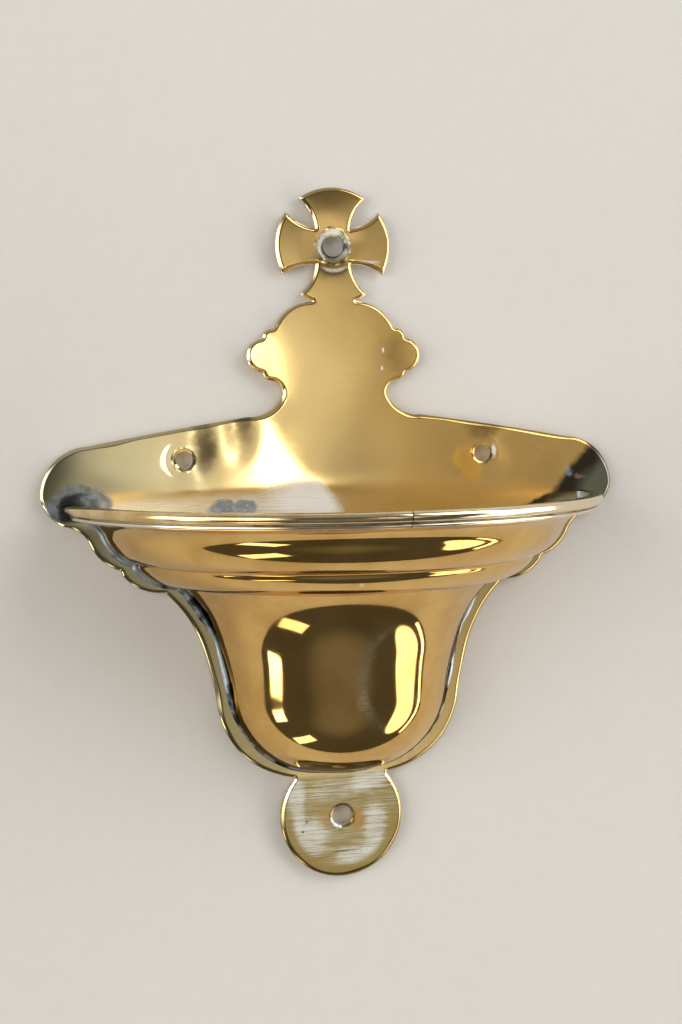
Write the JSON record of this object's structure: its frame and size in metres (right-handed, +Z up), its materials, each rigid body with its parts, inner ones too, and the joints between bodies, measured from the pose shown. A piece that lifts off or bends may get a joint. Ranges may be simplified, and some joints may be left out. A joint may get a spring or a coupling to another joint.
{
  "type": "holy water stoup",
  "caption": "Wall-hung brass holy water stoup: a flared half-round bowl with a beaded rim, soldered to a sawn backplate with wings, an orb and a cross, with countersunk screw holes.",
  "frame": {"origin": "rear face of the backplate, on the centre line, level with the top of the bowl's rim", "axes": "+Z up, +Y into the wall, +X to the right as the viewer faces the stoup"},
  "size_m": [0.1654, 0.0719, 0.196],
  "materials": {
    "plate_brass": "hand polished sheet brass with a soft satin haze",
    "bowl_brass": "spun and mirror polished brass",
    "bead_brass": "polished brass with fine draw lines",
    "solder": "dull grey soft solder"
  },
  "bodies": {
    "root": {"backplate": "plate_brass", "half_bowl": "bowl_brass", "rim_bead_left": "bead_brass", "rim_bead_right": "bead_brass", "solder_seam_outside": "solder", "solder_seam_inside": "solder"}
  },
  "joints": []
}
